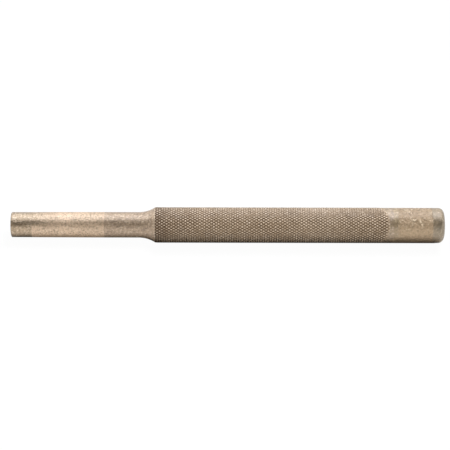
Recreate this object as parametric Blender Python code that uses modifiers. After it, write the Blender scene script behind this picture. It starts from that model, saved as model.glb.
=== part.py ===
"""A pin punch in blasted bronze, lying on its side.

Four turned pieces share one axis. The drive pin carries a slim tang behind its shoulder, and the
flared nose collar, the grip sleeve and the striking head are pressed onto that tang in that order.
The tool lies along X, its tip towards -X, and rests on the plane Z = 0 below the middle of its length.
"""

import math

import bmesh
import bpy

MM = 0.001

# Drive pin: the working end tapers a little towards its tip, and the tang steps down behind it
TIP_DIAMETER = 7.97 * MM
PIN_DIAMETER = 8.1 * MM
PIN_LENGTH = 29.4 * MM
TIP_CHAMFER = 0.15 * MM
TANG_SHOULDER = 1.55 * MM
TANG_REACH_IN_HEAD = 10.0 * MM
TANG_CHAMFER = 0.5 * MM

# Nose collar: a straight neck as wide as the pin, flared out to the grip
NOSE_LENGTH = 16.0 * MM
FLARE_RADIUS = 9.5 * MM

# Grip sleeve: its diameter is taken over the knurl's crests
GRIP_DIAMETER = 11.11 * MM
GRIP_LENGTH = 75.0 * MM

# Striking head: a plain cylinder with a flat face and a rounded edge
HEAD_LENGTH = 16.1 * MM
HEAD_EDGE_RADIUS = 1.75 * MM

# Fits: the room left between the pieces, and the lead-in at each mouth of a bore
SEAT_GAP = 0.3 * MM
BORE_GAP = 0.3 * MM
BORE_LEAD_IN = 0.4 * MM

# Fineness of the turned surfaces
SIDES = 48
FLARE_STEPS = 8
HEAD_EDGE_STEPS = 6
SHARP_ANGLE = math.radians(25)

# Places along the tool, measured from the tip
NOSE_SEAT = PIN_LENGTH
GRIP_SEAT = NOSE_SEAT + NOSE_LENGTH
HEAD_SEAT = GRIP_SEAT + GRIP_LENGTH
TOOL_LENGTH = HEAD_SEAT + HEAD_LENGTH
TANG_END = HEAD_SEAT + TANG_REACH_IN_HEAD

# Radii that several pieces share
TIP_RADIUS = TIP_DIAMETER / 2
PIN_RADIUS = PIN_DIAMETER / 2
GRIP_RADIUS = GRIP_DIAMETER / 2
TANG_RADIUS = PIN_RADIUS - TANG_SHOULDER
BORE_RADIUS = TANG_RADIUS + BORE_GAP


def clear_scene():
    """Removes whatever the file opened with."""
    for obj in list(bpy.data.objects):
        bpy.data.objects.remove(obj, do_unlink=True)


def bronze(name, colour, roughness):
    """A plain bronze finish with its own colour and roughness."""
    material = bpy.data.materials.new(name)
    material.use_nodes = True
    shader = material.node_tree.nodes["Principled BSDF"]
    shader.inputs["Base Color"].default_value = (*colour, 1.0)
    shader.inputs["Metallic"].default_value = 1.0
    shader.inputs["Roughness"].default_value = roughness
    return material


def arc(centre, radius, start, end, steps):
    """Points (radius, height) along an arc, both ends included; angles are in radians from +X."""
    turn = (end - start) / steps
    return [
        (
            centre[0] + radius * math.cos(start + turn * step),
            centre[1] + radius * math.sin(start + turn * step),
        )
        for step in range(steps + 1)
    ]


def bore_wall(length):
    """The inside of a bore right through a piece, from its front mouth to its rear one."""
    mouth = BORE_RADIUS + BORE_LEAD_IN
    return [
        (mouth, 0.0),
        (BORE_RADIUS, BORE_LEAD_IN),
        (BORE_RADIUS, length - BORE_LEAD_IN),
        (mouth, length),
    ]


def turned(name, outline, is_ring, seat, material, axis, collection):
    """Turns an outline of (radius, height) points round the tool's axis, seated at a place along it.

    A ring's outline closes on itself, and any other outline starts and ends on the axis.
    """
    profile = bmesh.new()
    points = [profile.verts.new((radius, 0.0, height)) for radius, height in outline]
    for first, second in zip(points, points[1:]):
        profile.edges.new((first, second))
    if is_ring:
        profile.edges.new((points[-1], points[0]))
    mesh = bpy.data.meshes.new(name)
    profile.to_mesh(mesh)
    profile.free()

    piece = bpy.data.objects.new(name, mesh)
    collection.objects.link(piece)
    screw = piece.modifiers.new("turn", "SCREW")
    screw.axis = "Z"
    screw.angle = 2 * math.pi
    screw.steps = SIDES
    screw.render_steps = SIDES
    screw.use_merge_vertices = True
    screw.merge_threshold = 0.01 * MM

    graph = bpy.context.evaluated_depsgraph_get()
    solid = bpy.data.meshes.new_from_object(piece.evaluated_get(graph))
    piece.modifiers.clear()
    piece.data = solid
    bpy.data.meshes.remove(mesh)
    solid.name = name
    solid.shade_smooth()
    solid.set_sharp_from_angle(angle=SHARP_ANGLE)
    solid.materials.append(material)

    # Half a side's turn sets one flat side down, so that the tool lies on it
    piece.parent = axis
    piece.location = (0.0, 0.0, seat)
    piece.rotation_euler = (0.0, 0.0, math.pi / SIDES)
    return piece


def drive_pin_outline():
    """The tang's end, its side, the shoulder, the tapered pin and the chamfered tip."""
    return [
        (0.0, TANG_END),
        (TANG_RADIUS - TANG_CHAMFER, TANG_END),
        (TANG_RADIUS, TANG_END - TANG_CHAMFER),
        (TANG_RADIUS, PIN_LENGTH),
        (PIN_RADIUS, PIN_LENGTH),
        (TIP_RADIUS, TIP_CHAMFER),
        (TIP_RADIUS - TIP_CHAMFER, 0.0),
        (0.0, 0.0),
    ]


def nose_collar_outline():
    """The flare falls from the grip's edge to the neck on one arc, tangent to the neck."""
    length = NOSE_LENGTH - SEAT_GAP
    rise = GRIP_RADIUS - PIN_RADIUS
    sweep = math.acos(1.0 - rise / FLARE_RADIUS)
    run = FLARE_RADIUS * math.sin(sweep)
    centre = (PIN_RADIUS + FLARE_RADIUS, length - run)
    flare = arc(centre, FLARE_RADIUS, math.pi - sweep, math.pi, FLARE_STEPS)
    return [*flare, (PIN_RADIUS, 0.0), *bore_wall(length)]


def knurled_grip_outline():
    """A plain sleeve from the nose collar to the striking head."""
    length = GRIP_LENGTH - SEAT_GAP
    return [(GRIP_RADIUS, length), (GRIP_RADIUS, 0.0), *bore_wall(length)]


def striking_head_outline():
    """A flat face with a rounded edge, and a blind bore that takes the tang's end."""
    length = HEAD_LENGTH - SEAT_GAP
    centre = (GRIP_RADIUS - HEAD_EDGE_RADIUS, length - HEAD_EDGE_RADIUS)
    edge = arc(centre, HEAD_EDGE_RADIUS, math.pi / 2, 0.0, HEAD_EDGE_STEPS)
    return [
        (0.0, length),
        *edge,
        (GRIP_RADIUS, 0.0),
        (BORE_RADIUS + BORE_LEAD_IN, 0.0),
        (BORE_RADIUS, BORE_LEAD_IN),
        (BORE_RADIUS, TANG_REACH_IN_HEAD),
        (0.0, TANG_REACH_IN_HEAD),
    ]


def build():
    """Builds the four pieces along the tool's axis."""
    clear_scene()
    collection = bpy.data.collections.new("pin_punch")
    bpy.context.scene.collection.children.link(collection)

    # Local Z of the axis runs from the tip to the striking face
    axis = bpy.data.objects.new("tool_axis", None)
    collection.objects.link(axis)
    axis.location = (-TOOL_LENGTH / 2, 0.0, GRIP_RADIUS * math.cos(math.pi / SIDES))
    axis.rotation_euler = (0.0, math.pi / 2, 0.0)
    axis.empty_display_size = GRIP_DIAMETER

    turned(
        "drive_pin",
        drive_pin_outline(),
        False,
        0.0,
        bronze("pin_bronze", (0.55, 0.43, 0.31), 0.42),
        axis,
        collection,
    )
    turned(
        "nose_collar",
        nose_collar_outline(),
        True,
        NOSE_SEAT + SEAT_GAP,
        bronze("nose_bronze", (0.44, 0.34, 0.25), 0.45),
        axis,
        collection,
    )
    turned(
        "knurled_grip",
        knurled_grip_outline(),
        True,
        GRIP_SEAT + SEAT_GAP,
        bronze("grip_bronze", (0.40, 0.31, 0.22), 0.5),
        axis,
        collection,
    )
    turned(
        "striking_head",
        striking_head_outline(),
        False,
        HEAD_SEAT + SEAT_GAP,
        bronze("head_bronze", (0.45, 0.36, 0.26), 0.4),
        axis,
        collection,
    )


build()
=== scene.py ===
"""Looks of a bronze pin punch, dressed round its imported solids.

The tool lies along X on a white table, its tip towards -X. Each of its four turned pieces is modelled
again at full fineness, with the grip's diamond knurl cut as real points, and gets its own blasted
bronze finish.
"""

import logging
import math
from abc import ABC, abstractmethod
from dataclasses import dataclass
from enum import Enum
from functools import partial, reduce
from typing import Callable, ClassVar

import bmesh
import bpy
from mathutils import Matrix, Vector


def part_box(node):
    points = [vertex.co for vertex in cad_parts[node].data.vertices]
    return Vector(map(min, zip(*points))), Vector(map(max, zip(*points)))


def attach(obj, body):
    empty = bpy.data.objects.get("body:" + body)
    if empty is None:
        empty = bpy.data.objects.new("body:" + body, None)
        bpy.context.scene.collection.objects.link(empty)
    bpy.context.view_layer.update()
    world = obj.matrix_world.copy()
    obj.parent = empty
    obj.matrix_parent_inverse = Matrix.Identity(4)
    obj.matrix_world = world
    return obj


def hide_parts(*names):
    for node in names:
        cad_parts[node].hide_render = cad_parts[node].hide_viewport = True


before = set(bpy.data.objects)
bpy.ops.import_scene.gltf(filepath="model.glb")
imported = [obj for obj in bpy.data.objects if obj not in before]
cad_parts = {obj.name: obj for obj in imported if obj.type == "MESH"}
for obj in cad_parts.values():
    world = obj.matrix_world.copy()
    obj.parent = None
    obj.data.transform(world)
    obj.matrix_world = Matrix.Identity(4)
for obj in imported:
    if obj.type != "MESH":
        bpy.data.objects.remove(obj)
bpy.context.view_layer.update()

LOG = logging.getLogger("pin_punch")

MM = 0.001
SEAT_GAP = 0.3 * MM
BORE_GAP = 0.3 * MM
HAIRLINE = 0.01 * MM
MERGE_REACH = 0.001 * MM
TINY = 0.0001 * MM
ROUND_SIDES = 152
EDGE_STEPS = 2
SMOOTH_ANGLE = math.radians(24)

Colour = tuple[float, float, float]
Span = tuple[float, float]
Station = tuple[float, float]
Socket = bpy.types.NodeSocket
Feed = Socket | float | Colour

WHITE: Colour = (1.0, 1.0, 1.0)
WARM_WHITE: Colour = (1.03, 1.0, 0.95)
COOL_WHITE: Colour = (0.89, 1.0, 1.24)


def srgb(red: int, green: int, blue: int) -> Colour:
    """Turns a screen colour into the linear one that the shaders use.

    Args:
        red: Red, from 0 to 255.
        green: Green, from 0 to 255.
        blue: Blue, from 0 to 255.

    Returns:
        The same colour in linear light.
    """
    shares = (level / 255 for level in (red, green, blue))
    return tuple(
        share / 12.92 if share <= 0.04045 else ((share + 0.055) / 1.055) ** 2.4 for share in shares
    )


def shifted(span: Span, start: float = 0.0, scale: float = 1.0) -> Span:
    """Moves a span to a place, and scales one that is in shares of a size."""
    return start + scale * span[0], start + scale * span[1]


def arc(centre: Station, radius: float, start: float, end: float, steps: int) -> list[Station]:
    """Gives the stations along a round stretch of a profile.

    Args:
        centre: The arc's centre, along X and out from the axis.
        radius: The arc's radius.
        start: The angle where it starts, from +X outwards.
        end: The angle where it ends.
        steps: The steps between them.

    Returns:
        The stations, both ends included.
    """
    angles = (start + (end - start) * step / steps for step in range(steps + 1))
    return [
        (centre[0] + radius * math.cos(angle), centre[1] + radius * math.sin(angle)) for angle in angles
    ]


class Slot(Enum):
    """The record's material slots."""

    PIN = "pin_bronze"
    NOSE = "nose_bronze"
    GRIP = "grip_bronze"
    HEAD = "head_bronze"


class Pick(Enum):
    """What a selection in edit mode picks."""

    POINTS = "VERT"
    EDGES = "EDGE"
    FACES = "FACE"


@dataclass(frozen=True)
class Layout:
    """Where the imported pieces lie, in metres.

    Attributes:
        tip: The tip's face, along X.
        nose: The pin's shoulder, where the nose collar begins.
        grip: The edge where the grip begins.
        head: The seam where the striking head begins.
        face: The striking face.
        tang_end: The end of the tang inside the head.
        axis_height: The tool's axis above the table.
        pin_radius: The pin's radius at its shoulder.
        grip_radius: The radius of the head and of the grip's plain end.
    """

    tip: float
    nose: float
    grip: float
    head: float
    face: float
    tang_end: float
    axis_height: float
    pin_radius: float
    grip_radius: float

    @classmethod
    def from_frame(cls) -> "Layout":
        """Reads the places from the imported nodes.

        Returns:
            The layout.
        """
        pin_low, pin_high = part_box("drive_pin")
        nose_low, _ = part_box("nose_collar")
        grip_low, grip_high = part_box("knurled_grip")
        head_low, head_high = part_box("striking_head")
        return cls(
            tip=pin_low.x,
            nose=nose_low.x - SEAT_GAP,
            grip=grip_low.x - SEAT_GAP,
            head=head_low.x - SEAT_GAP,
            face=head_high.x,
            tang_end=pin_high.x,
            axis_height=(grip_low.z + grip_high.z) / 2,
            pin_radius=pin_high.y,
            grip_radius=grip_high.y,
        )

    def radius_at(self, point: Vector) -> float:
        """Gives a point's distance from the tool's axis."""
        return math.hypot(point.y, point.z - self.axis_height)

    def set_radius(self, point: Vector, radius: float) -> None:
        """Moves a point straight out from the tool's axis, or in.

        Args:
            point: The point to move.
            radius: Its new distance from the axis.
        """
        factor = radius / self.radius_at(point)
        point.y *= factor
        point.z = self.axis_height + (point.z - self.axis_height) * factor


def deselect_all() -> None:
    """Leaves edit mode and drops every selection, so that an operator meets only what is added next."""
    if bpy.context.object and bpy.context.object.mode != "OBJECT":
        bpy.ops.object.mode_set(mode="OBJECT")
    bpy.ops.object.select_all(action="DESELECT")


class Lathe:
    """Draws out one turned piece by hand, ring after ring along the tool's axis.

    Attributes:
        piece: The piece on the lathe, in edit mode.
        layout: The places of the tool.
        along: The last ring's place along X.
        radius: The last ring's radius.
    """

    def __init__(self, name: str, layout: Layout, first: Station, sides: int) -> None:
        """Puts the first ring on the lathe.

        Args:
            name: The piece's name.
            layout: The places of the tool.
            first: The ring's place along X, and its radius.
            sides: How many points each ring has.
        """
        deselect_all()
        self.layout = layout
        self.along, self.radius = first
        bpy.ops.mesh.primitive_circle_add(
            vertices=sides,
            radius=self.radius,
            fill_type="NOTHING",
            location=(self.along, 0.0, layout.axis_height),
            rotation=(0.0, math.pi / 2, 0.0),
        )
        self.piece = bpy.context.object
        self.piece.name = name
        self.piece.data.name = name
        bpy.ops.object.transform_apply(location=True, rotation=True, scale=True)
        bpy.ops.object.mode_set(mode="EDIT")
        bpy.ops.mesh.select_mode(type=Pick.POINTS.value)
        bpy.ops.mesh.select_all(action="SELECT")

    def extrude(self, step: float = 0.0) -> None:
        """Draws what is selected out along the tool."""
        bpy.ops.mesh.extrude_region_move(TRANSFORM_OT_translate={"value": (step, 0.0, 0.0)})

    def widen(self, factor: float) -> None:
        """Scales the selected points about the tool's axis."""
        middle = (0.0, 0.0, self.layout.axis_height)
        bpy.ops.transform.resize(value=(1.0, factor, factor), center_override=middle)

    def draw(self, *stations: Station) -> None:
        """Draws the last ring out through the stations of a profile.

        Args:
            *stations: Places along X, each with its radius.
        """
        for along, radius in stations:
            self.extrude(along - self.along)
            self.widen(radius / self.radius)
            self.along, self.radius = along, radius

    def select(self, pick: Pick, test: Callable[..., bool]) -> None:
        """Selects the parts of the piece that pass a test of their place.

        Args:
            pick: Whether points, edges or faces are tested.
            test: Takes one part and says whether to select it.
        """
        bpy.ops.mesh.select_mode(type=pick.value)
        bpy.ops.mesh.select_all(action="DESELECT")
        mesh = bmesh.from_edit_mesh(self.piece.data)
        parts = {Pick.POINTS: mesh.verts, Pick.EDGES: mesh.edges, Pick.FACES: mesh.faces}[pick]
        for part in [part for part in parts if test(part)]:
            part.select_set(True)
        mesh.select_flush_mode()
        bmesh.update_edit_mesh(self.piece.data)

    def select_inside(self, radius: float) -> None:
        """Selects the points that lie closer to the axis than a radius."""
        self.select(Pick.POINTS, lambda point: self.layout.radius_at(point.co) < radius - TINY)

    def select_rims(self, along: float | None = None, reach: float = HAIRLINE) -> None:
        """Selects the open edges, all of them or those near one place.

        Args:
            along: The place along X, or nothing for all of them.
            reach: How near to it they lie.
        """

        def is_rim(edge: bmesh.types.BMEdge) -> bool:
            """Whether an edge is open and near enough."""
            return edge.is_boundary and (along is None or abs(edge.verts[0].co.x - along) < reach)

        self.select(Pick.EDGES, is_rim)

    def close_at_axis(self) -> None:
        """Closes the selected ring to a point on the axis."""
        self.extrude()
        bpy.ops.mesh.merge(type="CENTER")

    def soften(self, ring: Station, width: float) -> None:
        """Breaks the sharp edge at one ring with a small bevel.

        Args:
            ring: The ring's place along X, and its radius.
            width: The bevel's width.
        """
        along, radius = ring

        def on_ring(edge: bmesh.types.BMEdge) -> bool:
            """Whether an edge runs round that ring."""
            return all(
                abs(point.co.x - along) < HAIRLINE
                and abs(self.layout.radius_at(point.co) - radius) < HAIRLINE
                for point in edge.verts
            )

        self.select(Pick.EDGES, on_ring)
        bpy.ops.mesh.bevel(offset=width, segments=EDGE_STEPS, affect="EDGES")

    def finish(self, smooth_angle: float = SMOOTH_ANGLE) -> bpy.types.Object:
        """Merges what meets, turns the faces outwards and shades the piece.

        Args:
            smooth_angle: Edges sharper than this stay crisp.

        Returns:
            The finished piece, at the origin with its place in its mesh.
        """
        bpy.ops.mesh.select_mode(type=Pick.POINTS.value)
        bpy.ops.mesh.select_all(action="SELECT")
        bpy.ops.mesh.remove_doubles(threshold=MERGE_REACH)
        bpy.ops.mesh.normals_make_consistent(inside=False)
        bpy.ops.object.mode_set(mode="OBJECT")
        bpy.ops.object.shade_smooth_by_angle(angle=smooth_angle)
        return self.piece


class NodeBench:
    """Sets out the nodes of one tree and joins them."""

    def __init__(self, tree: bpy.types.NodeTree) -> None:
        """Takes the tree to work on."""
        self.tree = tree

    def feed(self, socket: Socket, value: Feed) -> None:
        """Joins a socket to another, or sets it to a number or a colour.

        Args:
            socket: The input to feed.
            value: What feeds it.
        """
        if isinstance(value, Socket):
            self.tree.links.new(value, socket)
        elif isinstance(value, tuple) and socket.type == "RGBA":
            socket.default_value = (*value, 1.0)
        else:
            socket.default_value = value

    def place(
        self, kind: str, inputs: dict[str, Feed] | None = None, **settings: object
    ) -> bpy.types.Node:
        """Adds a node.

        Args:
            kind: The node's type.
            inputs: Input names with what feeds them.
            **settings: Properties of the node itself.

        Returns:
            The new node.
        """
        node = self.tree.nodes.new(kind)
        for name, value in settings.items():
            setattr(node, name, value)
        for name, value in (inputs or {}).items():
            self.feed(node.inputs[name], value)
        return node

    def math(self, operation: str, first: Feed, second: Feed = 0.0) -> Socket:
        """Adds a Math node.

        Args:
            operation: What it works out.
            first: The first value.
            second: The second value, where the operation has one.

        Returns:
            The result.
        """
        node = self.place("ShaderNodeMath", operation=operation)
        self.feed(node.inputs[0], first)
        self.feed(node.inputs[1], second)
        return node.outputs[0]

    def times(self, *values: Feed) -> Socket:
        """Multiplies values with each other."""
        return reduce(partial(self.math, "MULTIPLY"), values)

    def plus(self, *values: Feed) -> Socket:
        """Adds values up."""
        return reduce(partial(self.math, "ADD"), values)

    def minus(self, first: Feed, second: Feed) -> Socket:
        """Takes the second value from the first."""
        return self.math("SUBTRACT", first, second)

    def apart(self, first: Feed, second: Feed) -> Socket:
        """Gives how far two values are apart."""
        return self.math("ABSOLUTE", self.minus(first, second))

    def between(self, share: Feed, first: Feed, second: Feed) -> Socket:
        """Goes from one value to another by a share."""
        return self.plus(first, self.times(share, self.minus(second, first)))

    def ramp(self, value: Feed, span: tuple[Feed, Feed], results: Span = (0.0, 1.0)) -> Socket:
        """Eases a value over a span.

        Args:
            value: The value to ease.
            span: Where the ramp starts and ends.
            results: What it gives before and after.

        Returns:
            The eased value.
        """
        names = ("From Min", "From Max", "To Min", "To Max")
        inputs = {"Value": value, **dict(zip(names, (*span, *results)))}
        node = self.place("ShaderNodeMapRange", inputs, interpolation_type="SMOOTHSTEP")
        return node.outputs["Result"]

    def ease(self, mask: Socket, before: float, after: float) -> Socket:
        """Goes gently from one number to another over a mask."""
        return self.ramp(mask, (0.0, 1.0), (before, after))

    def mix(self, share: Feed, first: Feed, second: Feed) -> Socket:
        """Mixes two colours.

        Args:
            share: How much of the second shows.
            first: The first colour.
            second: The second colour.

        Returns:
            The mixed colour.
        """
        node = self.place("ShaderNodeMix", data_type="RGBA")
        colours = [socket for socket in node.inputs if socket.type == "RGBA"]
        self.feed(node.inputs["Factor"], share)
        self.feed(colours[0], first)
        self.feed(colours[1], second)
        return next(socket for socket in node.outputs if socket.type == "RGBA")

    def noise(self, place: Socket, scale: Feed, detail: float = 2.0, rough: float = 0.55) -> Socket:
        """Gives a noise of about 0 to 1 at a place, with so many cells to the metre."""
        inputs = {"Vector": place, "Scale": scale, "Detail": detail, "Roughness": rough}
        return self.place("ShaderNodeTexNoise", inputs).outputs["Fac"]


class Effects:
    """Surface effects that several finishes share, each a node group.

    Attributes:
        FINE_GRAINS: Fine grains to each broad one.
        FINE_SHARE: How much of the height the fine ones make.
        FLECK_HEIGHT: Where a hump starts to be bright, and where it is brightest.
        PIT_HEIGHT: Where a hollow starts to be dark, and where it is darkest.
        WARM_COVER: Where the drift starts to be warm, and where it is warmest.
        STAINS: Stains to each patch of the drift.
        STAIN_COVER: Where a stain starts to be dull, and where it is dullest.
        LINE_DRIFTS: Wanderings of the turning lines to the metre.
        LINE_DRIFT: How far they wander, as an angle of their wave.
        LINE_PATCHES: Patches to the metre where the lines are left.
        LINE_COVER: Where such a patch starts, and where its lines are whole.
        grain: Blasted grain.
        patina: Slow drift of the bronze's tone.
        turning: Lines left by turning.
    """

    FINE_GRAINS: float = 2.7
    FINE_SHARE: float = 0.3
    FLECK_HEIGHT: Span = (0.52, 0.66)
    PIT_HEIGHT: Span = (0.5, 0.34)
    WARM_COVER: Span = (0.42, 0.62)
    STAINS: float = 2.3
    STAIN_COVER: Span = (0.52, 0.72)
    LINE_DRIFTS: float = 300.0
    LINE_DRIFT: float = 4.0
    LINE_PATCHES: float = 700.0
    LINE_COVER: Span = (0.4, 0.65)

    def __init__(self) -> None:
        """Builds every group once."""
        self.grain = self._grain()
        self.patina = self._patina()
        self.turning = self._turning()

    @staticmethod
    def _group(
        name: str, count: str, outputs: list[str]
    ) -> tuple[NodeBench, dict[str, Socket], dict[str, Socket]]:
        """Starts a node group that reads a place on the tool.

        Args:
            name: The group's name.
            count: The name of the input that says how many there are.
            outputs: Names of the values that it puts out.

        Returns:
            The bench, what comes into the group by name, and what goes out of it.
        """
        tree = bpy.data.node_groups.new(name, "ShaderNodeTree")
        tree.interface.new_socket(name="Place", in_out="INPUT", socket_type="NodeSocketVector")
        tree.interface.new_socket(name=count, in_out="INPUT", socket_type="NodeSocketFloat")
        for title in outputs:
            tree.interface.new_socket(name=title, in_out="OUTPUT", socket_type="NodeSocketFloat")
        bench = NodeBench(tree)
        start, end = bench.place("NodeGroupInput"), bench.place("NodeGroupOutput")
        return bench, dict(start.outputs.items()), dict(end.inputs.items())

    def _grain(self) -> bpy.types.NodeTree:
        """Makes blasted grain: small humps, with bright flecks on some and dark pits between.

        Returns:
            The group.
        """
        bench, inputs, outputs = self._group(
            "blasted_grain", "Grains per Metre", ["Height", "Fleck", "Pit"]
        )
        place, count = inputs["Place"], inputs["Grains per Metre"]
        broad = bench.noise(place, count)
        fine = bench.noise(place, bench.times(count, self.FINE_GRAINS))
        height = bench.plus(
            bench.times(broad, 1.0 - self.FINE_SHARE), bench.times(fine, self.FINE_SHARE)
        )
        bench.feed(outputs["Height"], height)
        bench.feed(outputs["Fleck"], bench.ramp(height, self.FLECK_HEIGHT))
        bench.feed(outputs["Pit"], bench.ramp(height, self.PIT_HEIGHT))
        return bench.tree

    def _patina(self) -> bpy.types.NodeTree:
        """Makes the slow drift of the bronze between a warm and a dull tone.

        Returns:
            The group.
        """
        bench, inputs, outputs = self._group("patina_drift", "Patches per Metre", ["Warm", "Dull"])
        place, count = inputs["Place"], inputs["Patches per Metre"]
        drift = bench.noise(place, count, detail=3.0, rough=0.6)
        stain = bench.noise(place, bench.times(count, self.STAINS), detail=4.0, rough=0.65)
        bench.feed(outputs["Warm"], bench.ramp(drift, self.WARM_COVER))
        bench.feed(outputs["Dull"], bench.ramp(stain, self.STAIN_COVER))
        return bench.tree

    def _turning(self) -> bpy.types.NodeTree:
        """Makes faint lines round the tool, left by turning and broken up by the blasting.

        Returns:
            The group.
        """
        bench, inputs, outputs = self._group("turning_lines", "Lines per Metre", ["Height"])
        place = inputs["Place"]
        along = bench.place("ShaderNodeSeparateXYZ", {"Vector": place}).outputs["X"]
        drift = bench.times(bench.noise(place, self.LINE_DRIFTS), self.LINE_DRIFT)
        turn = bench.times(along, inputs["Lines per Metre"], 2 * math.pi)
        wave = bench.math("SINE", bench.plus(turn, drift))
        left = bench.ramp(bench.noise(place, self.LINE_PATCHES, detail=3.0), self.LINE_COVER)
        bench.feed(outputs["Height"], bench.times(wave, left))
        return bench.tree


@dataclass(frozen=True)
class Bronze:
    """One blasted bronze finish.

    Attributes:
        slot: The record's slot that it stands for.
        base: The metal's own colour.
        warm: The colour of warmer patches.
        dull: The colour of tarnished patches.
        bright: The colour of bare flecks and rubbed edges.
        pit: The colour inside small pits.
        roughness: How far the metal spreads a reflection.
        grains: Grains to the metre.
        relief: The grain's height.
        warm_share: How strongly the warm patches show.
        dull_share: How strongly the tarnish shows.
        fleck_share: How strongly the flecks show.
        pit_share: How strongly the pits show.
        film: How much there is of the pale film that dulls the highlights.
        patches: Patches of patina to the metre.
    """

    slot: Slot
    base: Colour
    warm: Colour
    dull: Colour
    bright: Colour
    pit: Colour
    roughness: float
    grains: float
    relief: float
    warm_share: float
    dull_share: float
    fleck_share: float
    pit_share: float
    film: float
    patches: float = 130.0

    def start(self, effects: Effects, layout: Layout) -> "BronzeBench":
        """Starts the material of this finish."""
        return BronzeBench(self, effects, layout)


class BronzeBench(NodeBench):
    """Builds the material of one bronze finish, from its plain colour up.

    Attributes:
        FILM_IOR: How strongly the pale film mirrors.
        FILM_ROUGHNESS: How far it spreads what it mirrors.
        finish: The finish being built.
        effects: The shared effects.
        layout: The places of the tool.
        material: The material.
        shader: The material's shader.
        place_on_tool: The point on the surface.
        along: The point's place along the tool.
        across: Its place from front to back.
        height: Its height above the table.
        grain: The finish's own grain.
        patina: The finish's own patina.
        colour: The colour so far.
        relief: The height so far, in shares of the grain's.
    """

    FILM_IOR: float = 1.9
    FILM_ROUGHNESS: float = 0.4

    def __init__(self, finish: Bronze, effects: Effects, layout: Layout) -> None:
        """Sets out the coordinates, the grain and the patina.

        Args:
            finish: The finish to build.
            effects: The shared effects.
            layout: The places of the tool.
        """
        self.finish = finish
        self.effects = effects
        self.layout = layout
        self.material = bpy.data.materials.new(finish.slot.value)
        self.material.use_nodes = True
        super().__init__(self.material.node_tree)
        self.shader = self.tree.nodes["Principled BSDF"]
        self.give("Metallic", 1.0)
        self.give("Coat Weight", finish.film)
        self.give("Coat IOR", self.FILM_IOR)
        self.give("Coat Roughness", self.FILM_ROUGHNESS)
        self.place_on_tool = self.place("ShaderNodeTexCoord").outputs["Object"]
        parts = self.place("ShaderNodeSeparateXYZ", {"Vector": self.place_on_tool})
        self.along, self.across, self.height = (parts.outputs[name] for name in "XYZ")
        self.grain = self.effect(effects.grain, "Grains per Metre", finish.grains)
        self.patina = self.effect(effects.patina, "Patches per Metre", finish.patches)
        self.colour: Feed = finish.base
        self.relief: Socket = self.grain["Height"]

    def give(self, name: str, value: Feed) -> None:
        """Feeds one input of the shader."""
        self.feed(self.shader.inputs[name], value)

    def effect(self, tree: bpy.types.NodeTree, count: str, value: float) -> dict[str, Socket]:
        """Places a shared effect with its own count.

        Args:
            tree: The effect's group.
            count: The name of the input that says how many there are.
            value: How many there are to the metre.

        Returns:
            What the effect puts out, by name.
        """
        node = self.place("ShaderNodeGroup", node_tree=tree)
        self.feed(node.inputs["Place"], self.place_on_tool)
        self.feed(node.inputs[count], value)
        return dict(node.outputs.items())

    def mottle(self, count: float, detail: float = 3.0) -> Socket:
        """Gives a noise over the tool, with a count to the metre."""
        return self.noise(self.place_on_tool, count, detail)

    def rise(self) -> Socket:
        """Gives the point's height above the tool's axis."""
        return self.minus(self.height, self.layout.axis_height)

    def radius(self) -> Socket:
        """Gives the point's distance from the tool's axis."""
        squares = (self.times(reach, reach) for reach in (self.across, self.rise()))
        return self.math("SQRT", self.plus(*squares))

    def tint(self, share: Feed, colour: Colour) -> None:
        """Lays a colour over the ones so far."""
        self.colour = self.mix(share, self.colour, colour)

    def weather(self) -> None:
        """Lays the patina and the grain over the colour so far."""
        finish = self.finish
        self.tint(self.times(self.patina["Warm"], finish.warm_share), finish.warm)
        self.tint(self.times(self.patina["Dull"], finish.dull_share), finish.dull)
        self.tint(self.times(self.grain["Pit"], finish.pit_share), finish.pit)
        self.tint(self.times(self.grain["Fleck"], finish.fleck_share), finish.bright)

    def turn_lines(self, lines: float, share: float) -> None:
        """Adds so many faint turning lines to the metre, at a share of the grain's height."""
        turning = self.effect(self.effects.turning, "Lines per Metre", lines)
        self.relief = self.plus(self.relief, self.times(turning["Height"], share))

    def done(self, roughness: Feed) -> bpy.types.Material:
        """Joins the colour, the roughness and the relief to the shader.

        Args:
            roughness: The roughness.

        Returns:
            The finished material.
        """
        relief = {"Height": self.relief, "Strength": 1.0, "Distance": self.finish.relief}
        self.give("Base Color", self.colour)
        self.give("Roughness", roughness)
        self.give("Normal", self.place("ShaderNodeBump", relief).outputs["Normal"])
        return self.material


PIN_BRONZE = Bronze(
    slot=Slot.PIN,
    base=srgb(184, 160, 129),
    warm=srgb(198, 172, 141),
    dull=srgb(156, 135, 105),
    bright=srgb(244, 224, 196),
    pit=srgb(112, 90, 66),
    roughness=0.29,
    grains=1700.0,
    relief=0.28 * MM,
    warm_share=0.5,
    dull_share=0.5,
    fleck_share=0.7,
    pit_share=0.6,
    film=0.5,
)
NOSE_BRONZE = Bronze(
    slot=Slot.NOSE,
    base=srgb(181, 155, 126),
    warm=srgb(189, 161, 131),
    dull=srgb(150, 131, 107),
    bright=srgb(228, 208, 178),
    pit=srgb(108, 88, 68),
    roughness=0.45,
    grains=1600.0,
    relief=0.3 * MM,
    warm_share=0.4,
    dull_share=0.5,
    fleck_share=0.7,
    pit_share=0.65,
    film=0.65,
)
GRIP_BRONZE = Bronze(
    slot=Slot.GRIP,
    base=srgb(181, 158, 131),
    warm=srgb(191, 165, 137),
    dull=srgb(158, 139, 119),
    bright=srgb(248, 228, 204),
    pit=srgb(104, 86, 70),
    roughness=0.45,
    grains=1500.0,
    relief=0.04 * MM,
    warm_share=0.5,
    dull_share=0.7,
    fleck_share=0.45,
    pit_share=0.45,
    film=0.0,
)
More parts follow.
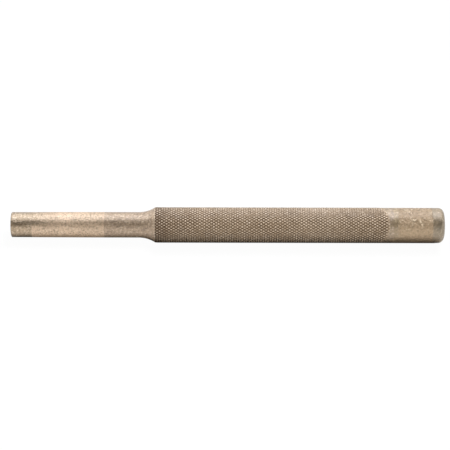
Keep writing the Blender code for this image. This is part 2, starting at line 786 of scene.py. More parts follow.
HEAD_BRONZE = Bronze(
    slot=Slot.HEAD,
    base=srgb(183, 160, 124),
    warm=srgb(190, 163, 129),
    dull=srgb(154, 139, 111),
    bright=srgb(230, 210, 178),
    pit=srgb(108, 90, 66),
    roughness=0.62,
    grains=1500.0,
    relief=0.17 * MM,
    warm_share=0.4,
    dull_share=0.25,
    fleck_share=0.4,
    pit_share=0.35,
    film=0.8,
)


@dataclass
class TurnedPiece(ABC):
    """One piece of the tool, turned on the lathe and dressed in its finish.

    Attributes:
        layout: The places of the tool.
        node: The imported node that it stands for.
        finish: Its bronze.
    """

    layout: Layout
    node: ClassVar[str]
    finish: ClassVar[Bronze]

    @abstractmethod
    def model(self) -> bpy.types.Object:
        """Models the piece."""

    @abstractmethod
    def material(self, effects: Effects) -> bpy.types.Material:
        """Makes the piece's material."""

    def lathe(self, first: Station, sides: int = ROUND_SIDES) -> Lathe:
        """Puts the piece's first ring on the lathe."""
        return Lathe(f"bronze_{self.node}", self.layout, first, sides)

    def dress(self, effects: Effects) -> None:
        """Models and finishes the piece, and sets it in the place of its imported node.

        Args:
            effects: The shared effects.
        """
        piece = self.model()
        piece.data.materials.append(self.material(effects))
        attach(piece, "root")
        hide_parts(self.node)
        LOG.info("%s: %d faces for %s", piece.name, len(piece.data.polygons), self.node)


@dataclass
class DrivePin(TurnedPiece):
    """The working pin with its tang.

    Attributes:
        tip_narrowing: How much less the radius is at the tip than at the shoulder.
        tip_chamfer: The chamfer round the tip's face.
        shoulder: The step from the pin down to the tang.
        tang_chamfer: The chamfer at the tang's end.
        edge_break: The softness of the edges.
        band_start: Where the lighter band begins, from the tip.
        band_colour: The band's colour.
        band_roughness: The band's roughness.
        wobbles: Wobbles of its border to the metre.
        wobble: How far its border wanders.
        line: Where it comes in below, as a crisp line.
        drift: Where it comes in above, gently.
        upper_side: Where below turns into above, in shares of the pin's radius.
        rim_depth: How far the dark rim reaches along the side.
        rim_ring: How far it reaches over the face, in shares of the pin's radius.
        rim_share: How dark the rim is.
    """

    node: ClassVar[str] = "drive_pin"
    finish: ClassVar[Bronze] = PIN_BRONZE
    tip_narrowing: float = 0.065 * MM
    tip_chamfer: float = 0.15 * MM
    shoulder: float = 1.55 * MM
    tang_chamfer: float = 0.5 * MM
    edge_break: float = 0.04 * MM
    band_start: float = 6.5 * MM
    band_colour: Colour = srgb(229, 200, 167)
    band_roughness: float = 0.52
    wobbles: float = 220.0
    wobble: float = 0.8 * MM
    line: Span = (0.2 * MM, 0.6 * MM)
    drift: Span = (-1.0 * MM, 9.0 * MM)
    upper_side: Span = (0.35, 0.65)
    rim_depth: Span = (0.45 * MM, 0.1 * MM)
    rim_ring: Span = (0.8, 0.95)
    rim_share: float = 0.6

    @property
    def tang_radius(self) -> float:
        """The tang's radius."""
        return self.layout.pin_radius - self.shoulder

    def model(self) -> bpy.types.Object:
        """Turns the pin from its tang's end to its tip.

        Returns:
            The pin.
        """
        at = self.layout
        tip_radius = at.pin_radius - self.tip_narrowing
        side_ring = (at.tip + self.tip_chamfer, tip_radius)
        face_ring = (at.tip, tip_radius - self.tip_chamfer)
        lathe = self.lathe((at.tang_end, self.tang_radius - self.tang_chamfer))
        lathe.draw((at.tang_end - self.tang_chamfer, self.tang_radius), (at.nose, self.tang_radius))
        lathe.draw((at.nose, at.pin_radius), side_ring, face_ring, (at.tip, tip_radius / 2))
        lathe.close_at_axis()
        lathe.select(Pick.POINTS, lambda point: point.co.x > at.tang_end - TINY)
        lathe.close_at_axis()
        lathe.soften(side_ring, self.edge_break)
        lathe.soften(face_ring, self.edge_break)
        return lathe.finish()

    def material(self, effects: Effects) -> bpy.types.Material:
        """Makes a bronze that is dull by the tip, dark round its rim and lighter along the band.

        Args:
            effects: The shared effects.

        Returns:
            The material.
        """
        at = self.layout
        bench = self.finish.start(effects, at)
        band = self._band(bench)
        bench.tint(band, self.band_colour)
        bench.weather()
        front = bench.ramp(bench.along, shifted(self.rim_depth, at.tip))
        outer = bench.ramp(bench.radius(), shifted(self.rim_ring, scale=at.pin_radius))
        bench.tint(bench.times(front, outer, self.rim_share), self.finish.pit)
        return bench.done(bench.ease(band, self.finish.roughness, self.band_roughness))

    def _band(self, bench: BronzeBench) -> Socket:
        """Masks the lighter band, which begins at a line below and drifts in gently above.

        Args:
            bench: The bench with the pin's material.

        Returns:
            The mask, 1 on the band.
        """
        start = self.layout.tip + self.band_start
        wander = bench.times(bench.mottle(self.wobbles, detail=2.0), self.wobble)
        here = bench.plus(bench.along, wander)
        line = bench.ramp(here, shifted(self.line, start))
        drift = bench.ramp(here, shifted(self.drift, start))
        above = bench.ramp(bench.rise(), shifted(self.upper_side, scale=self.layout.pin_radius))
        return bench.between(above, line, drift)


@dataclass
class NoseCollar(TurnedPiece):
    """The neck behind the pin, flared out to the grip.

    Attributes:
        bore_radius: The radius of the bore for the tang.
        flare_radius: The radius of the concave flare.
        flare_steps: Steps along the flare.
        crest_width: The narrow land at the top of the flare.
        edge_break: The softness of the crest.
        rub_reach: How far from the grip's edge the crest is rubbed.
        rub_patches: Rubbed patches to the metre.
        rub_cover: How much of the crest they cover.
        rub_share: How bright they are.
        lines: Turning lines to the metre.
        line_share: Their height as a share of the grain's.
        tarnish_roughness: How much rougher the tarnished patches are.
    """

    node: ClassVar[str] = "nose_collar"
    finish: ClassVar[Bronze] = NOSE_BRONZE
    bore_radius: float
    flare_radius: float = 9.5 * MM
    flare_steps: int = 28
    crest_width: float = 0.1 * MM
    edge_break: float = 0.05 * MM
    rub_reach: float = 0.6 * MM
    rub_patches: float = 900.0
    rub_cover: Span = (0.3, 0.65)
    rub_share: float = 0.35
    lines: float = 2600.0
    line_share: float = 0.08
    tarnish_roughness: float = 0.08

    def model(self) -> bpy.types.Object:
        """Turns the collar: front face, neck, flare, crest, rear face and bore.

        Returns:
            The collar.
        """
        at = self.layout
        front, rear = at.nose + HAIRLINE, at.grip - HAIRLINE
        crest = rear - self.crest_width
        sweep = math.acos(1.0 - (at.grip_radius - at.pin_radius) / self.flare_radius)
        centre = (crest - self.flare_radius * math.sin(sweep), at.pin_radius + self.flare_radius)
        neck = -math.pi / 2
        flare = arc(centre, self.flare_radius, neck, neck + sweep, self.flare_steps)
        lathe = self.lathe((front, self.bore_radius))
        lathe.draw((front, at.pin_radius), *flare, (rear, at.grip_radius))
        lathe.draw((rear, self.bore_radius), (front, self.bore_radius))
        lathe.soften((crest, at.grip_radius), self.edge_break)
        return lathe.finish()

    def material(self, effects: Effects) -> bpy.types.Material:
        """Makes a bronze that is a little darker than the pin's and rubbed at the crest.

        Args:
            effects: The shared effects.

        Returns:
            The material.
        """
        bench = self.finish.start(effects, self.layout)
        bench.weather()
        crest = bench.ramp(bench.apart(bench.along, self.layout.grip), (self.rub_reach, 0.0))
        patchy = bench.ramp(bench.mottle(self.rub_patches), self.rub_cover)
        bench.tint(bench.times(crest, patchy, self.rub_share), self.finish.bright)
        bench.turn_lines(self.lines, self.line_share)
        smooth = self.finish.roughness
        return bench.done(bench.ease(bench.patina["Dull"], smooth, smooth + self.tarnish_roughness))


@dataclass
class KnurledGrip(TurnedPiece):
    """The grip sleeve, with a diamond knurl of real points.

    Attributes:
        bore_radius: The radius of the bore for the tang.
        starts: Grooves of each hand round the grip.
        rows: Rows of diamonds along the grip.
        knurl_length: The knurl's length from the grip's front edge, where it is longest.
        proud: How far the points stand above the plain surface.
        depth: The grooves' depth.
        flat_share: The size of the small flat on each point, as a share of its diamond.
        groove_flat: The softness at the bottom of each groove.
        run_out: How far the knurl fades at its rear end.
        run_out_skew: How much sooner the knurl ends on the far side.
        longest_side: The side where the knurl is longest, as an angle above the front.
        plain_lead: Where the plain finish comes in, in shares of the run-out.
        smooth_angle: Edges of the knurl sharper than this stay crisp.
        bare_metal: How much of the knurl shows metal through its dull film.
        sheen: How shiny that film is.
        drifts: Drifts of the handling marks to the metre.
        drift: How far they wander.
        soiled: Where the soiled front end fades and where it is full, from the front edge.
        soil_share: How dark it is.
        corner: Where the dirt behind the front edge fades and where it is full.
        corner_share: How dark it is.
        held_place: The middle of the stretch that is worn by hands, from the front edge.
        held_reach: How far that stretch goes either way.
        held_share: How bright it is.
        grime_and_shade_colour: The colour of the grime and painted shade in the grooves, and of the
            dirt at the front end.
        grime_and_shade_height: Where the grime and painted shade end and where they are full, in shares
            of the depth.
        grime_patches: Patches of thinner and thicker grime and painted shade to the metre.
        grime_cover: How much noise goes from thin to thick.
        grime_shares: How strongly thin and thick ones show.
        grime_roughness: How much rougher the grime is.
        point_height: Where the points turn bright, below their tops in shares of the depth.
        bare_patches: Patches of bared points to the metre.
        bare_cover: How much noise goes from dull points to bared ones.
        bare_shares: How bright dull and bared points are.
    """

    node: ClassVar[str] = "knurled_grip"
    finish: ClassVar[Bronze] = GRIP_BRONZE
    bore_radius: float
    starts: int = 38
    rows: int = 50
    knurl_length: float = 74.2 * MM
    proud: float = 0.05 * MM
    depth: float = 0.3 * MM
    flat_share: float = 0.32
    groove_flat: float = 0.03 * MM
    run_out: float = 1.3 * MM
    run_out_skew: float = 3.2 * MM
    longest_side: float = math.radians(35)
    plain_lead: Span = (-0.7, 0.0)
    smooth_angle: float = math.radians(62)
    bare_metal: float = 0.4
    sheen: float = 0.2
    drifts: float = 90.0
    drift: float = 8.0 * MM
    soiled: Span = (22.0 * MM, 0.0)
    soil_share: float = 0.35
    corner: Span = (6.0 * MM, 0.2 * MM)
    corner_share: float = 0.4
    held_place: float = 56.0 * MM
    held_reach: float = 12.0 * MM
    held_share: float = 0.13
    grime_and_shade_colour: Colour = srgb(84, 65, 49)
    grime_and_shade_height: Span = (0.65, 0.05)
    grime_patches: float = 160.0
    grime_cover: Span = (0.36, 0.6)
    grime_shares: Span = (0.82, 1.0)
    grime_roughness: float = 0.15
    point_height: Span = (-0.35, -0.05)
    bare_patches: float = 620.0
    bare_cover: Span = (0.36, 0.66)
    bare_shares: Span = (0.15, 0.75)

    @property
    def crest_radius(self) -> float:
        """The radius over the points."""
        return self.layout.grip_radius + self.proud

    @property
    def groove_radius(self) -> float:
        """The radius at the bottom of the grooves."""
        return self.crest_radius - self.depth

    @property
    def peak_radius(self) -> float:
        """The radius that the points would reach without their flats."""
        return self.groove_radius + self.depth / (1.0 - self.flat_share)

    @property
    def chord_share(self) -> float:
        """How much closer to the axis a side's middle lies than its ends, as a share."""
        return math.cos(math.pi / self.starts)

    def model(self) -> bpy.types.Object:
        """Cuts the knurl on a lattice of rings, closes the sleeve and fades the knurl's rear end.

        Returns:
            The grip.
        """
        front = self.layout.grip
        lathe = self.lathe((front, self.groove_radius), self.starts)
        for row in range(1, self.rows + 1):
            lathe.draw((front + self.knurl_length * row / self.rows, self.groove_radius))
        self._cut_diamonds(lathe)
        self._raise_points(lathe)
        self._blunt(lathe)
        self._close_ends(lathe)
        piece = lathe.finish(self.smooth_angle)
        self._fade(piece)
        return piece

    @staticmethod
    def _is_straight(edge: bmesh.types.BMEdge) -> bool:
        """Tells the edges along a ring or along the tool from those on a groove.

        Args:
            edge: The edge to judge.

        Returns:
            Whether it is an inner edge and not on a groove.
        """
        first, second = (point.co for point in edge.verts)
        in_ring = abs(first.x - second.x) < TINY
        lengthwise = math.hypot(first.y - second.y, first.z - second.z) < TINY
        return not edge.is_boundary and (in_ring or lengthwise)

    def _cut_diamonds(self, lathe: Lathe) -> None:
        """Turns the square lattice into one of diamonds, as two crossing sets of grooves leave it.

        Args:
            lathe: The lathe with the lattice.
        """
        bpy.ops.mesh.select_all(action="SELECT")
        bpy.ops.mesh.poke()
        lathe.select_inside(self.groove_radius)
        lathe.widen(1.0 / self.chord_share)
        lathe.select(Pick.EDGES, self._is_straight)
        bpy.ops.mesh.dissolve_edges(use_verts=False)

    def _raise_points(self, lathe: Lathe) -> None:
        """Raises a pyramid on each diamond, and half of one along each end.

        Args:
            lathe: The lathe with the diamonds.
        """
        middle = self.groove_radius * (1.0 + self.chord_share) / 2
        lathe.select(Pick.FACES, lambda face: len(face.verts) == 4)
        bpy.ops.mesh.poke(center_mode="MEDIAN")
        lathe.select_inside(self.groove_radius)
        lathe.widen(self.peak_radius / middle)
        lathe.select_rims()
        bpy.ops.mesh.subdivide(number_cuts=1)
        lathe.select(Pick.FACES, lambda face: len(face.verts) == 4)
        bpy.ops.mesh.quads_convert_to_tris(quad_method="SHORTEST_DIAGONAL")
        lathe.select_inside(self.groove_radius)
        lathe.widen(self.peak_radius / (self.groove_radius * self.chord_share))

    def _blunt(self, lathe: Lathe) -> None:
        """Softens the bottoms of the grooves, and cuts a small flat on each point.

        Args:
            lathe: The lathe with the sharp knurl.
        """
        between = (self.groove_radius + self.peak_radius) / 2

        def is_low(point: bmesh.types.BMVert) -> bool:
            """Whether a point lies at the bottom of a groove."""
            return self.layout.radius_at(point.co) < between

        lathe.select(Pick.EDGES, lambda edge: all(is_low(point) for point in edge.verts))
        bpy.ops.mesh.bevel(offset=self.groove_flat, segments=1, affect="EDGES")
        lathe.select(Pick.POINTS, lambda point: not is_low(point))
        flat = 100 * self.flat_share
        bpy.ops.mesh.bevel(offset_type="PERCENT", offset_pct=flat, segments=1, affect="VERTICES")

    def _close_ends(self, lathe: Lathe) -> None:
        """Draws the rear end out to the head, and closes both ends down to the bore.

        Args:
            lathe: The lathe with the knurl.
        """
        at = self.layout
        knurl_end = at.grip + self.knurl_length
        rear = at.head - HAIRLINE
        for end in (at.grip, knurl_end):
            lathe.select_rims(end, MM)
            bpy.ops.transform.resize(value=(0.0, 1.0, 1.0), center_override=(end, 0.0, 0.0))
        lathe.extrude(rear - knurl_end)
        for end in (at.grip, rear):
            lathe.select_rims(end)
            lathe.extrude()
            mesh = bmesh.from_edit_mesh(lathe.piece.data)
            for point in (point for point in mesh.verts if point.select):
                at.set_radius(point.co, self.bore_radius)
            bmesh.update_edit_mesh(lathe.piece.data)
        lathe.select_rims()
        bpy.ops.mesh.bridge_edge_loops()

    def _fade(self, piece: bpy.types.Object) -> None:
        """Lifts the grooves out to the plain surface where the knurl runs out.

        Args:
            piece: The closed sleeve.
        """
        at = self.layout
        for point in piece.data.vertices:
            radius = at.radius_at(point.co)
            if radius < self.groove_radius - self.depth:
                continue
            side = math.atan2(point.co.z - at.axis_height, -point.co.y) - self.longest_side
            end = at.grip + self.knurl_length - self.run_out_skew * (1.0 - max(math.cos(side), 0.0))
            share = min(max((point.co.x - end + self.run_out) / self.run_out, 0.0), 1.0)
            lift = share * share * (3.0 - 2.0 * share)
            at.set_radius(point.co, radius + (at.grip_radius - radius) * lift)

    def material(self, effects: Effects) -> bpy.types.Material:
        """Makes a dull bronze, with grime and painted shade in the grooves, and rubbed bright on the
        points.

        Args:
            effects: The shared effects.

        Returns:
            The material.
        """
        finish, head = self.finish, HEAD_BRONZE
        bench = finish.start(effects, self.layout)
        plain = self._plain_end(bench)
        bench.tint(plain, head.base)
        bench.weather()
        self._handle(bench)
        grime = self._shade_and_soil_knurl(bench, plain)
        bench.give("Coat Weight", bench.ease(plain, finish.film, head.film))
        bench.give("Metallic", bench.ease(plain, self.bare_metal, 1.0))
        bench.give("Specular IOR Level", self.sheen)
        bench.relief = bench.times(bench.relief, bench.ease(plain, 1.0, head.relief / finish.relief))
        smooth = bench.ease(plain, finish.roughness, head.roughness)
        return bench.done(bench.plus(smooth, bench.times(grime, self.grime_roughness)))

    def _plain_end(self, bench: BronzeBench) -> Socket:
        """Masks the plain end behind the knurl.

        Args:
            bench: The bench with the grip's material.

        Returns:
            The mask, 1 on the plain end.
        """
        up = bench.times(bench.rise(), math.sin(self.longest_side) / self.layout.grip_radius)
        back = bench.times(bench.across, math.cos(self.longest_side) / self.layout.grip_radius)
        lean = bench.math("MAXIMUM", bench.minus(up, back), 0.0)
        past = bench.minus(bench.along, bench.times(lean, self.run_out_skew))
        end = self.layout.grip + self.knurl_length - self.run_out_skew
        return bench.ramp(past, shifted(self.plain_lead, end, self.run_out))

    def _handle(self, bench: BronzeBench) -> None:
        """Soils the front end and wears the stretch that is held.

        Args:
            bench: The bench with the grip's material.
        """
        front = self.layout.grip
        wander = bench.times(bench.mottle(self.drifts, detail=2.0), self.drift)
        here = bench.plus(bench.along, wander)
        soiled = bench.ramp(here, shifted(self.soiled, front))
        bench.tint(bench.times(soiled, self.soil_share), self.grime_and_shade_colour)
        corner = bench.ramp(bench.along, shifted(self.corner, front))
        bench.tint(bench.times(corner, self.corner_share), self.grime_and_shade_colour)
        held = bench.ramp(bench.apart(here, front + self.held_place), (self.held_reach, 0.0))
        bench.tint(bench.times(held, self.held_share), self.finish.bright)

    def _shade_and_soil_knurl(self, bench: BronzeBench, plain: Socket) -> Socket:
        """Packs grime and painted shade into the grooves, and bares the points.

        Args:
            bench: The bench with the grip's material.
            plain: The mask of the plain end.

        Returns:
            The mask of the grime and painted shade.
        """
        radius = bench.radius()
        grime = bench.ramp(radius, shifted(self.grime_and_shade_height, self.groove_radius, self.depth))
        packed = bench.ramp(bench.mottle(self.grime_patches), self.grime_cover, self.grime_shares)
        # Grime and painted shade darken the grooves.
        bench.tint(bench.times(grime, packed), self.grime_and_shade_colour)
        points = bench.ramp(radius, shifted(self.point_height, self.crest_radius, self.depth))
        bared = bench.ramp(bench.mottle(self.bare_patches), self.bare_cover, self.bare_shares)
        bench.tint(bench.times(points, bared, bench.minus(1.0, plain)), self.finish.bright)
        return grime


@dataclass
class StrikingHead(TurnedPiece):
    """The plain head behind the grip.

    Attributes:
        bore_radius: The radius of the blind bore for the tang.
        edge_radius: The rounding round the striking face.
        edge_steps: Steps along the rounding.
        bore_lead: How far the bore goes past the tang's end.
        lines: Turning lines to the metre.
        line_share: Their height as a share of the grain's.
        end_length: The length of the greyer end behind the striking face.
        end_border: How soft its border is.
        end_colour: That end's colour.
        end_roughness: That end's roughness.
        matt_lead: How far behind the seam the browner, matt side begins.
        matt_fade: How far it fades in.
        ragged: How far its border wanders.
        rags: Wanderings of the border to the metre.
        matt_colour: That side's colour.
        matt_metal: How much of it shows metal through its dull film.
        matt_film: How much of the pale film is left on it.
        matt_roughness: That side's roughness.
        painted_light_place: The height of a stripe of painted light on it, in shares of the radius from
            the axis.
        painted_light_reach: How far from there the painted light ends and where it is full.
        painted_light_colour: The painted light's colour.
        upper_side: Where the scuffed upper half comes in, in shares of the radius.
        scuffs: Scuffs to the metre on it.
        scuff_height: The scuffs' height, as a share of the grain's.
        scuff_cover: How high a scuff has to stand to be rubbed bare.
        scuff_colour: The colour of metal bared by them.
        scuff_share: How strongly it shows.
    """

    node: ClassVar[str] = "striking_head"
    finish: ClassVar[Bronze] = HEAD_BRONZE
    bore_radius: float
    edge_radius: float = 1.75 * MM
    edge_steps: int = 20
    bore_lead: float = 0.2 * MM
    lines: float = 2400.0
    line_share: float = 0.1
    end_length: float = 3.9 * MM
    end_border: Span = (-0.25 * MM, 0.25 * MM)
    end_colour: Colour = srgb(153, 137, 110)
    end_roughness: float = 0.58
    matt_lead: float = 1.6 * MM
    matt_fade: float = 1.6 * MM
    ragged: float = 1.6 * MM
    rags: float = 450.0
    matt_colour: Colour = srgb(188, 162, 131)
    matt_metal: float = 0.65
    matt_film: float = 0.35
    matt_roughness: float = 0.62
    painted_light_place: float = 0.12
    painted_light_reach: Span = (0.5, 0.15)
    painted_light_colour: Colour = srgb(207, 180, 145)
    upper_side: Span = (0.15, 0.6)
    scuffs: float = 750.0
    scuff_height: float = 4.5
    scuff_cover: Span = (0.54, 0.68)
    scuff_colour: Colour = srgb(246, 226, 194)
    scuff_share: float = 0.75

    def model(self) -> bpy.types.Object:
        """Turns the head: blind bore, front face, side, rounded edge and striking face.

        Returns:
            The head.
        """
        at = self.layout
        bottom = at.tang_end + self.bore_lead
        land = at.grip_radius - self.edge_radius
        centre = (at.face - self.edge_radius, land)
        edge = arc(centre, self.edge_radius, math.pi / 2, 0.0, self.edge_steps)
        lathe = self.lathe((bottom, self.bore_radius))
        lathe.draw((at.head, self.bore_radius), (at.head, at.grip_radius), *edge, (at.face, land / 2))
        lathe.close_at_axis()

        def at_bottom(point: bmesh.types.BMVert) -> bool:
            """Whether a point lies on the ring at the bottom of the bore."""
            in_bore = at.radius_at(point.co) < self.bore_radius + TINY
            return in_bore and abs(point.co.x - bottom) < TINY

        lathe.select(Pick.POINTS, at_bottom)
        lathe.close_at_axis()
        return lathe.finish()

    def material(self, effects: Effects) -> bpy.types.Material:
        """Makes a satin bronze, browner and scuffed on the side with a stripe of painted light there,
        and greyer at the rounded edge.

        Args:
            effects: The shared effects.

        Returns:
            The material.
        """
        at, finish = self.layout, self.finish
        bench = finish.start(effects, at)
        end = bench.ramp(bench.along, shifted(self.end_border, at.face - self.end_length))
        border = bench.plus(bench.along, bench.times(bench.mottle(self.rags), self.ragged))
        led_in = bench.ramp(border, shifted((0.0, self.matt_fade), at.head + self.matt_lead))
        matt = bench.times(led_in, bench.minus(1.0, end))
        rise = bench.times(bench.rise(), 1.0 / at.grip_radius)
        stripe = bench.ramp(bench.apart(rise, self.painted_light_place), self.painted_light_reach)
        bench.tint(end, self.end_colour)
        bench.tint(matt, self.matt_colour)
        # Painted light: a lighter stripe round the matt side at one height.
        bench.tint(bench.times(matt, stripe), self.painted_light_colour)
        bench.weather()
        bench.turn_lines(self.lines, self.line_share)
        self._scuff(bench, bench.times(matt, bench.ramp(rise, self.upper_side)))
        bench.give("Metallic", bench.ease(matt, 1.0, self.matt_metal))
        bench.give("Coat Weight", bench.ease(matt, finish.film, self.matt_film))
        satin = bench.ease(end, finish.roughness, self.end_roughness)
        return bench.done(bench.between(matt, satin, self.matt_roughness))

    def _scuff(self, bench: BronzeBench, where: Socket) -> None:
        """Scuffs a part of the head, bright where the metal stands proud.

        Args:
            bench: The bench with the head's material.
            where: The mask of that part.
        """
        scuff = bench.mottle(self.scuffs)
        bench.relief = bench.plus(bench.relief, bench.times(scuff, where, self.scuff_height))
        rubbed = bench.times(bench.ramp(scuff, self.scuff_cover), where, self.scuff_share)
        bench.tint(rubbed, self.scuff_colour)


@dataclass(frozen=True)
class Lamp:
    """One soft lamp that hangs over the table and faces its middle.

    Attributes:
        name: The lamp's name.
        watts: Its power.
        colour: Its colour.
        behind: How far behind the tool it hangs.
        size: Its length along the tool, and its depth from front to back.
        is_mirrored: Whether the metal mirrors it.
        height: How high it hangs.
    """

    name: str
    watts: float
    colour: Colour
    behind: float
    size: Span
    is_mirrored: bool
    height: float = 0.55

    def hang(self) -> None:
        """Adds the lamp to the scene."""
        deselect_all()
        place = Vector((0.0, self.behind, self.height))
        bpy.ops.object.light_add(type="AREA", location=place)
        lamp = bpy.context.object
        lamp.name = self.name
        lamp.data.shape = "RECTANGLE"
        lamp.data.size, lamp.data.size_y = self.size
        lamp.data.energy = self.watts
        lamp.data.color = self.colour
        lamp.rotation_mode = "QUATERNION"
        lamp.rotation_quaternion = (-place).to_track_quat("-Z", "Y")
        lamp.visible_glossy = self.is_mirrored


@dataclass
class Studio:
    """The white table, the soft lights and the camera.

    Attributes:
        layout: The places of the tool.
        lamps: The soft lamps.
        sky_light: How much the white surroundings light the table.
        table_size: The table's side.
        table_glow: How brightly the white table shows.
        bleach: How much of that white lies over the table's shading and its painted shadow.
        thrown_back: How much light the table throws back up on dull surfaces.
        painted_shadow_tones: The table's brightness away from the tool, and in the painted shadow close
            under it.
        grip_reach: Where the painted shadow under the grip and head ends, from the tool's middle.
        grip_full: Where it is full, in shares of the grip's radius.
        pin_reach: Where the painted shadow under the pin and nose, which are clear of the table, ends.
        pin_full: Where it is full, in shares of the pin's radius.
        pin_painted_shadow: How strong the painted shadow is there.
        grip_border: Where the painted shadow under the pin turns into the one under the grip, from the
            grip's edge.
        tip_border: Where the painted shadow comes in, from the tip.
        face_border: Where it goes out, from the striking face.
        shadow_line_width: How far from the tool's middle the painted shadow line reaches where the tool
            touches the table.
        shadow_line_edge: Where that line is full, as a share of its width.
        shadow_line_start: Where it comes in, from the grip's edge.
        shadow_line_end: Where it goes out, from the striking face.
        card_angle: The dark card's angle above the table.
        card_distance: Its distance from the tool.
        card_size: Its length and height.
        card_colour: Its colour.
        card_roughness: Its roughness.
        camera_distance: From the camera to the tool's axis.
        camera_height: The camera's angle above the table.
        camera_roll: A slight lean of the picture.
        near_clip: The nearest that the camera sees.
        pixel: One pixel's size at the tool's axis.
        frame_pixels: The picture's width.
        off_centre: How far right of the picture's middle the tool's middle lies, in pixels.
    """

    layout: Layout
    lamps: tuple[Lamp, ...] = (
        Lamp("softbox", 2.3, COOL_WHITE, 0.2, (1.0, 0.5), is_mirrored=True),
        Lamp("table_light", 0.35, WARM_WHITE, 0.0, (0.9, 0.4), is_mirrored=False),
        Lamp("front_fill", 4.7, WARM_WHITE, -0.45, (0.9, 0.4), is_mirrored=False),
    )
    sky_light: float = 0.05
    table_size: float = 6.0
    table_glow: float = 1.03
    bleach: float = 0.94
    thrown_back: float = 0.15
    painted_shadow_tones: Span = (0.9, 0.03)
    grip_reach: float = 13.5 * MM
    grip_full: float = 0.9
    pin_reach: float = 9.0 * MM
    pin_full: float = 0.5
    pin_painted_shadow: float = 0.85
    grip_border: Span = (-5.0 * MM, 0.5 * MM)
    tip_border: Span = (-7.0 * MM, -1.0 * MM)
    face_border: Span = (1.0 * MM, -3.0 * MM)
    shadow_line_width: float = 2.05 * MM
    shadow_line_edge: float = 0.88
    shadow_line_start: Span = (0.0, 0.5 * MM)
    shadow_line_end: Span = (-1.7 * MM, -3.0 * MM)
    card_angle: float = math.radians(50.7)
    card_distance: float = 0.9
    card_size: Span = (2.4, 0.95)
    card_colour: Colour = (0.63, 0.55, 0.46)
    card_roughness: float = 0.9
    camera_distance: float = 490.6 * MM
    camera_height: float = math.radians(35)
    camera_roll: float = math.radians(0.124)
    near_clip: float = 10.0 * MM
    pixel: float = 0.3165 * MM
    frame_pixels: int = 450
    off_centre: float = 2.65

    def build(self) -> None:
        """Sets up the whole studio."""
        self._table()
        self._sky()
        for lamp in self.lamps:
            lamp.hang()
        self._card()
        self._camera()
        bpy.context.scene.view_settings.view_transform = "Standard"

    @staticmethod
    def _facing(angle: float) -> Vector:
        """Gives the way from the tool to the front and up, at an angle above the table."""
        return Vector((0.0, -math.cos(angle), math.sin(angle)))

    def _table(self) -> None:
        """Lays a white table under the tool, which shows white and keeps the tool's shadow, with a
        painted shadow close under the tool.
        """
        deselect_all()
        bpy.ops.mesh.primitive_plane_add(size=self.table_size)
        table = bpy.context.object
        table.name = "white_table"
        material = bpy.data.materials.new("white_table")
        material.use_nodes = True
        material.node_tree.nodes.clear()
        bench = NodeBench(material.node_tree)
        rays = bench.place("ShaderNodeLightPath").outputs
        spot = bench.place("ShaderNodeTexCoord").outputs["Object"]
        parts = bench.place("ShaderNodeSeparateXYZ", {"Vector": spot})
        along, across = parts.outputs["X"], bench.math("ABSOLUTE", parts.outputs["Y"])
        kept = bench.minus(1.0, bench.times(rays["Is Diffuse Ray"], 1.0 - self.thrown_back))
        # The table's brightness, darkened by a painted shadow close under the tool.
        tone = bench.times(self._painted_shadow(bench, along, across), kept)
        paint = bench.place("ShaderNodeBsdfDiffuse", {"Color": tone})
        white = bench.place("ShaderNodeEmission", {"Color": WHITE, "Strength": self.table_glow})
        # The white is taken off that strip, so the painted shadow shows there as a dark line.
        bleached = bench.ease(self._painted_shadow_line(bench, along, across), self.bleach, 0.0)
        seen = bench.times(rays["Is Camera Ray"], bleached)
        blend = bench.place("ShaderNodeMixShader", {"Fac": seen})
        bench.feed(blend.inputs[1], paint.outputs[0])
        bench.feed(blend.inputs[2], white.outputs[0])
        bench.place("ShaderNodeOutputMaterial", {"Surface": blend.outputs[0]})
        table.data.materials.append(material)

    def _painted_shadow(self, bench: NodeBench, along: Socket, across: Socket) -> Socket:
        """Paints a shadow on the table close under the tool, darkest where the grip and the head lie on
        it.

        Args:
            bench: The bench with the table's material.
            along: The place along the tool.
            across: The distance from the tool's middle.

        Returns:
            The table's brightness, with the painted shadow.
        """
        at = self.layout
        under_grip = bench.ramp(across, (self.grip_reach, self.grip_full * at.grip_radius))
        pin_span = (self.pin_reach, self.pin_full * at.pin_radius)
        under_pin = bench.ramp(across, pin_span, (0.0, self.pin_painted_shadow))
        lowered = bench.ramp(along, shifted(self.grip_border, at.grip))
        behind_tip = bench.ramp(along, shifted(self.tip_border, at.tip))
        before_face = bench.ramp(along, shifted(self.face_border, at.face))
        # Painted shadow: strongest under the grip and head, weaker under the pin, fading out past the
        # tip and the face.
        under = bench.times(bench.between(lowered, under_pin, under_grip), behind_tip, before_face)
        return bench.between(under, *self.painted_shadow_tones)

    def _painted_shadow_line(self, bench: NodeBench, along: Socket, across: Socket) -> Socket:
        """Masks the thin strip where the grip and the head touch the table, where the painted shadow
        shows as a dark line.

        Args:
            bench: The bench with the table's material.
            along: The place along the tool.
            across: The distance from the tool's middle.

        Returns:
            The mask, 1 on the strip.
        """
        at = self.layout
        strip = bench.ramp(across, (self.shadow_line_width, self.shadow_line_edge * self.shadow_line_width))
        from_grip = bench.ramp(along, shifted(self.shadow_line_start, at.grip))
        to_head = bench.ramp(along, shifted(self.shadow_line_end, at.face))
        return bench.times(strip, from_grip, to_head)

    def _sky(self) -> None:
        """Surrounds the table with white, which lights it only a little."""
        world = bpy.data.worlds.new("white_studio")
        bpy.context.scene.world = world
        world.use_nodes = True
        world.node_tree.nodes.clear()
        bench = NodeBench(world.node_tree)
        rays = bench.place("ShaderNodeLightPath").outputs
        kinds = ("Is Camera Ray", "Is Glossy Ray", "Is Transmission Ray")
        seen = bench.math("MINIMUM", bench.plus(*(rays[kind] for kind in kinds)), 1.0)
        strength = bench.between(seen, self.sky_light, 1.0)
        sky = bench.place("ShaderNodeBackground", {"Color": WHITE, "Strength": strength})
        bench.place("ShaderNodeOutputWorld", {"Surface": sky.outputs[0]})

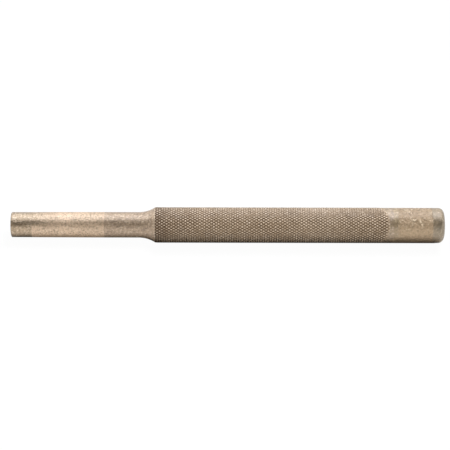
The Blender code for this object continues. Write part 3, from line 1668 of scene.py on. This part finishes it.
    def _card(self) -> None:
        """Stands a dark card behind the camera, which gives the bronze its dark band."""
        deselect_all()
        place = self._facing(self.card_angle) * self.card_distance
        turn = place.to_track_quat("Z", "Y").to_euler()
        bpy.ops.mesh.primitive_plane_add(size=1.0, location=place, rotation=turn)
        card = bpy.context.object
        card.name = "dark_card"
        card.scale = (*self.card_size, 1.0)
        bpy.ops.object.transform_apply(location=True, rotation=True, scale=True)
        material = bpy.data.materials.new("dark_card")
        material.use_nodes = True
        bench = NodeBench(material.node_tree)
        shader = bench.tree.nodes["Principled BSDF"]
        bench.feed(shader.inputs["Base Color"], self.card_colour)
        bench.feed(shader.inputs["Roughness"], self.card_roughness)
        card.data.materials.append(material)
        card.visible_camera = False

    def _camera(self) -> None:
        """Points the camera square to the tool's axis, from above and in front."""
        deselect_all()
        bpy.ops.object.camera_add()
        camera = bpy.context.object
        camera.name = "photo_camera"
        width = self.pixel * self.frame_pixels
        camera.data.lens = camera.data.sensor_width * self.camera_distance / width
        camera.data.clip_start = self.near_clip
        middle = (self.layout.tip + self.layout.face) / 2 - self.off_centre * self.pixel
        target = Vector((middle, 0.0, self.layout.axis_height))
        back = self._facing(self.camera_height)
        turn = (-back).to_track_quat("-Z", "Y").to_matrix().to_4x4()
        roll = Matrix.Rotation(self.camera_roll, 4, "Z")
        camera.matrix_world = Matrix.Translation(target + back * self.camera_distance) @ turn @ roll
        bpy.context.scene.camera = camera


def main() -> None:
    """Builds and dresses the pieces in order, then the studio."""
    logging.basicConfig(level=logging.INFO, format="%(name)s: %(message)s")
    LOG.info("dressing %d packed nodes", len(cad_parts))
    layout = Layout.from_frame()
    effects = Effects()
    pin = DrivePin(layout)
    bore_radius = pin.tang_radius + BORE_GAP
    nose = NoseCollar(layout, bore_radius)
    grip = KnurledGrip(layout, bore_radius)
    head = StrikingHead(layout, bore_radius)
    for piece in (pin, nose, grip, head):
        piece.dress(effects)
    Studio(layout).build()
    deselect_all()


if __name__ == "__main__":
    main()
